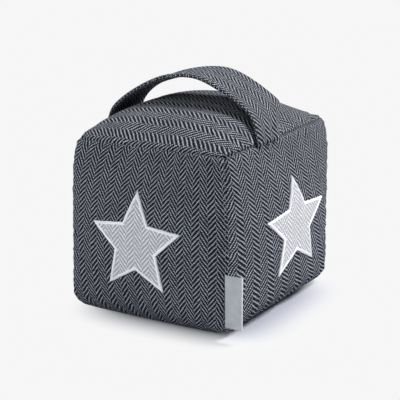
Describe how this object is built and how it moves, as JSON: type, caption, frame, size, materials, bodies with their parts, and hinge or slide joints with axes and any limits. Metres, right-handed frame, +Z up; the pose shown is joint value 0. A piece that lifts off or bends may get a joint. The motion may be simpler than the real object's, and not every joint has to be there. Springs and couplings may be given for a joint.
{
  "type": "weighted fabric door stop",
  "caption": "Stuffed cube of herringbone cloth with a star patch on its sides, a strap handle over its domed top and a sealed bag of sand inside.",
  "frame": {"origin": "middle of the flat underside, where the door stop rests on the floor", "axes": "+Z up, +X along the strap handle to the side where it is sewn in at the right, -Y out of the front panel"},
  "size_m": [0.1663, 0.1605, 0.1853],
  "materials": {
    "cloth": "dark herringbone tweed, matt",
    "patch": "pale herringbone cloth, matt",
    "stitching": "satin stitching",
    "ribbon": "grey satin ribbon, bare",
    "wadding": "soft fibre filling",
    "sand_bag": "plain woven bag, sewn shut"
  },
  "bodies": {
    "root": {"front_panel": "cloth", "right_panel": "cloth", "back_panel": "cloth", "left_panel": "cloth", "top_panel": "cloth", "base_panel": "cloth", "handle": "cloth", "front_star_patch": "patch", "right_star_patch": "patch", "back_star_patch": "patch", "left_star_patch": "patch", "front_star_border": "stitching", "right_star_border": "stitching", "back_star_border": "stitching", "left_star_border": "stitching", "side_label": "ribbon", "wadding": "wadding", "weight_bag": "sand_bag"}
  },
  "joints": []
}
